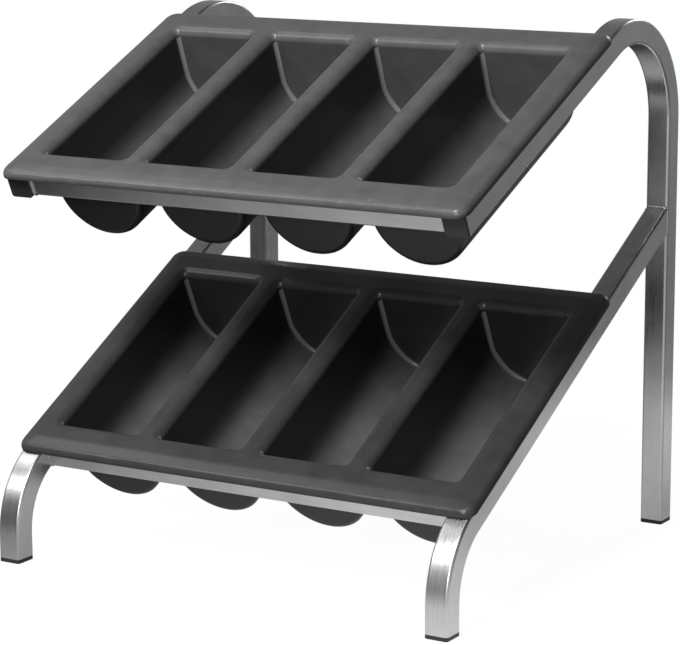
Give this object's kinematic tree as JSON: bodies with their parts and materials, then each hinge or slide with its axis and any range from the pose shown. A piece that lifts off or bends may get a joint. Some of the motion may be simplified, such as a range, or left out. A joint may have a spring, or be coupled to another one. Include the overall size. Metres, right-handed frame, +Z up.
{
  "type": "cutlery stand",
  "caption": "Counter-top cutlery stand: bent square steel tube frame carrying slanted plastic trays with round-bottomed troughs, one above the other.",
  "frame": {"origin": "on the counter, at the middle of the stand's footprint", "axes": "+X to the user's right, +Y from the user towards the back, +Z up"},
  "size_m": [0.5304, 0.493, 0.5435],
  "materials": {
    "tube_steel": "brushed along the tube",
    "bar_steel": "brushed along the bar",
    "insert_plastic": "moulded black polyethylene",
    "tray_plastic": "satin black, smooth inside"
  },
  "bodies": {
    "frame": {"left_rear_tube": "tube_steel", "right_rear_tube": "tube_steel", "left_front_tube": "tube_steel", "right_front_tube": "tube_steel", "upper_front_bar": "bar_steel", "upper_rear_bar": "bar_steel", "lower_front_bar": "bar_steel", "lower_rear_bar": "bar_steel", "left_end_cap": "insert_plastic", "right_end_cap": "insert_plastic", "front_left_foot": "insert_plastic", "front_right_foot": "insert_plastic", "rear_left_foot": "insert_plastic", "rear_right_foot": "insert_plastic"},
    "upper_tray": {"upper_tray": "tray_plastic"},
    "lower_tray": {"lower_tray": "tray_plastic"}
  },
  "joints": [
    {"name": "upper_tray_lift", "type": "slide", "parent": "frame", "child": "upper_tray", "axis": [0, -0.4115, 0.9114], "range_m": [0, 0.1]},
    {"name": "lower_tray_lift", "type": "slide", "parent": "frame", "child": "lower_tray", "axis": [0, -0.4795, 0.8776], "range_m": [0, 0.1]}
  ]
}
